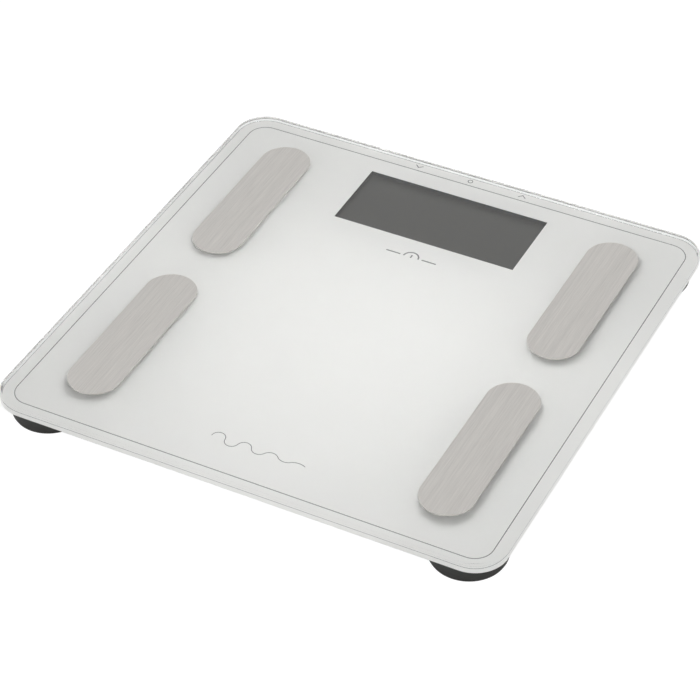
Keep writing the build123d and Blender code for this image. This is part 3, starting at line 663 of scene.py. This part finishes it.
footPiece = {
    "steps": 144,
    "capRound": 1.0 * mm,
    "capWall": 1.2 * mm,
    "capFloor": 2.2 * mm,
    "lip": 1.0 * mm,
    "lipWidth": 2.4 * mm,
    "lipRound": 0.3 * mm,
    "padRecess": 0.6 * mm,              # how deep the pad sits in the cap
    "recessEdge": 0.05 * mm,
    "postRadius": 3.5 * mm,
    "postHeight": 3.5 * mm,
    "padRound": 0.5 * mm,
    "padGroovePitch": 4.0 * mm,
    "padGrooveWidth": 1.2 * mm,
    "padGrooveDepth": 0.4 * mm,
    "padGrooveEdge": 0.15 * mm,
}


def makeFeet(spec):
    for corner in cornerNames:
        low, high = boxOf("foot_cap_" + corner)
        padLow, padHigh = boxOf("foot_pad_" + corner)
        middle = (low[:2] + high[:2]) / 2
        radius = (high[0] - low[0]) / 2
        padRadius = (padHigh[0] - padLow[0]) / 2
        centres, angles = roundOutline(spec["steps"], middle)
        bottom = min(low[2], padHigh[2] - spec["padRecess"])
        floorTop = bottom + spec["capFloor"]
        inner = radius - spec["capWall"]
        lipInner = radius - spec["lipWidth"]
        # from the recess in the underside, out round the rim, over the lip and in to the post
        capRound, lipRound = spec["capRound"], spec["lipRound"]
        cap = [(padRadius, padHigh[2]), (padRadius, bottom + spec["recessEdge"])]
        cap += quarterRound(radius - capRound, bottom + capRound, capRound, -90, 8)[1:]
        cap += quarterRound(radius - lipRound, high[2] - lipRound, lipRound, 0, 4)
        cap += [(lipInner, high[2]), (lipInner, high[2] - spec["lip"]), (inner, high[2] - spec["lip"]),
                (inner, floorTop), (spec["postRadius"], floorTop),
                (spec["postRadius"], floorTop + spec["postHeight"])]
        title = corner.title().replace("_", "")
        sweptSurface("footCap" + title, centres, angles, cap, "foot_cap_" + corner)
        # three ring grooves with broken edges, from the middle of the pad outwards
        edge, depth = spec["padGrooveEdge"], spec["padGrooveDepth"]
        pad = []
        for groove in (3, 2, 1):
            outer = padRadius - groove * spec["padGroovePitch"]
            core = outer - spec["padGrooveWidth"]
            pad += [(core - edge, 0), (core, edge), (core, depth), (outer, depth), (outer, edge),
                    (outer + edge, 0)]
        pad += quarterRound(padRadius - spec["padRound"], spec["padRound"], spec["padRound"], -90, 6)
        pad += [(padRadius, padHigh[2])]
        sweptSurface("footPad" + title, centres, angles, pad, "foot_pad_" + corner)


keyPiece = {
    "corner": 1.2 * mm,
    "round": 0.5 * mm,
    "steps": 8,
    "flange": 1.0 * mm,                 # its thickness, and how far it stands out round the key
    "flangeReach": 0.6 * mm,
    "sideInset": 1.2 * mm,
}


def makeKeys(spec):
    for key in ("key_down", "key_set", "key_up"):
        low, high = boxOf(key)
        middle = (low + high) / 2
        corner, reach = spec["corner"], spec["flangeReach"]
        halfX = (high[0] - low[0]) / 2 - spec["sideInset"]
        halfZ = (high[2] - low[2]) / 2 - reach
        centres, angles = roundedOutline(halfX, halfZ, corner, spec["steps"], (middle[0], middle[2]))
        start, end = low[1], high[1]
        profile = [(corner + reach, start), (corner + reach, start + spec["flange"]),
                   (corner, start + spec["flange"]), (corner, end - spec["round"])]
        profile += quarterRound(corner - spec["round"], end - spec["round"], spec["round"], 0, 5)[1:]
        sweptSurface("key" + key[4:].title(), centres, angles, profile, key, turned=True)


unitPiece = {
    "steps": 64,
    "round": 0.25 * mm,
    "dish": 0.15 * mm,
    "dishShare": 0.5,                   # how much of the face is the flat of the dish
    "flangeReach": 0.8 * mm,
    "flangeHeight": 0.6 * mm,
}


def makeUnitButton(spec):
    low, high = boxOf("unit_button")
    middle = (low[:2] + high[:2]) / 2
    flange = (high[0] - low[0]) / 2
    radius = flange - spec["flangeReach"]
    flangeLow = high[2] - spec["flangeHeight"]
    centres, angles = roundOutline(spec["steps"], middle)
    flat = spec["dishShare"]
    profile = [(radius * flat, low[2] + spec["dish"]), (radius * (1 + flat) / 2, low[2] + spec["dish"] / 2)]
    profile += quarterRound(radius - spec["round"], low[2] + spec["round"], spec["round"], -90, 5)
    profile += [(radius, flangeLow), (flange, flangeLow), (flange, high[2])]
    sweptSurface("unitButton", centres, angles, profile, "unit_button")


makeGlass(glassPiece)
print("glass plate")
makeElectrodes(electrodePiece)
print("electrodes")
makeFeet(footPiece)
print("feet")
makeKeys(keyPiece)
makeUnitButton(unitPiece)
print("keys and button")
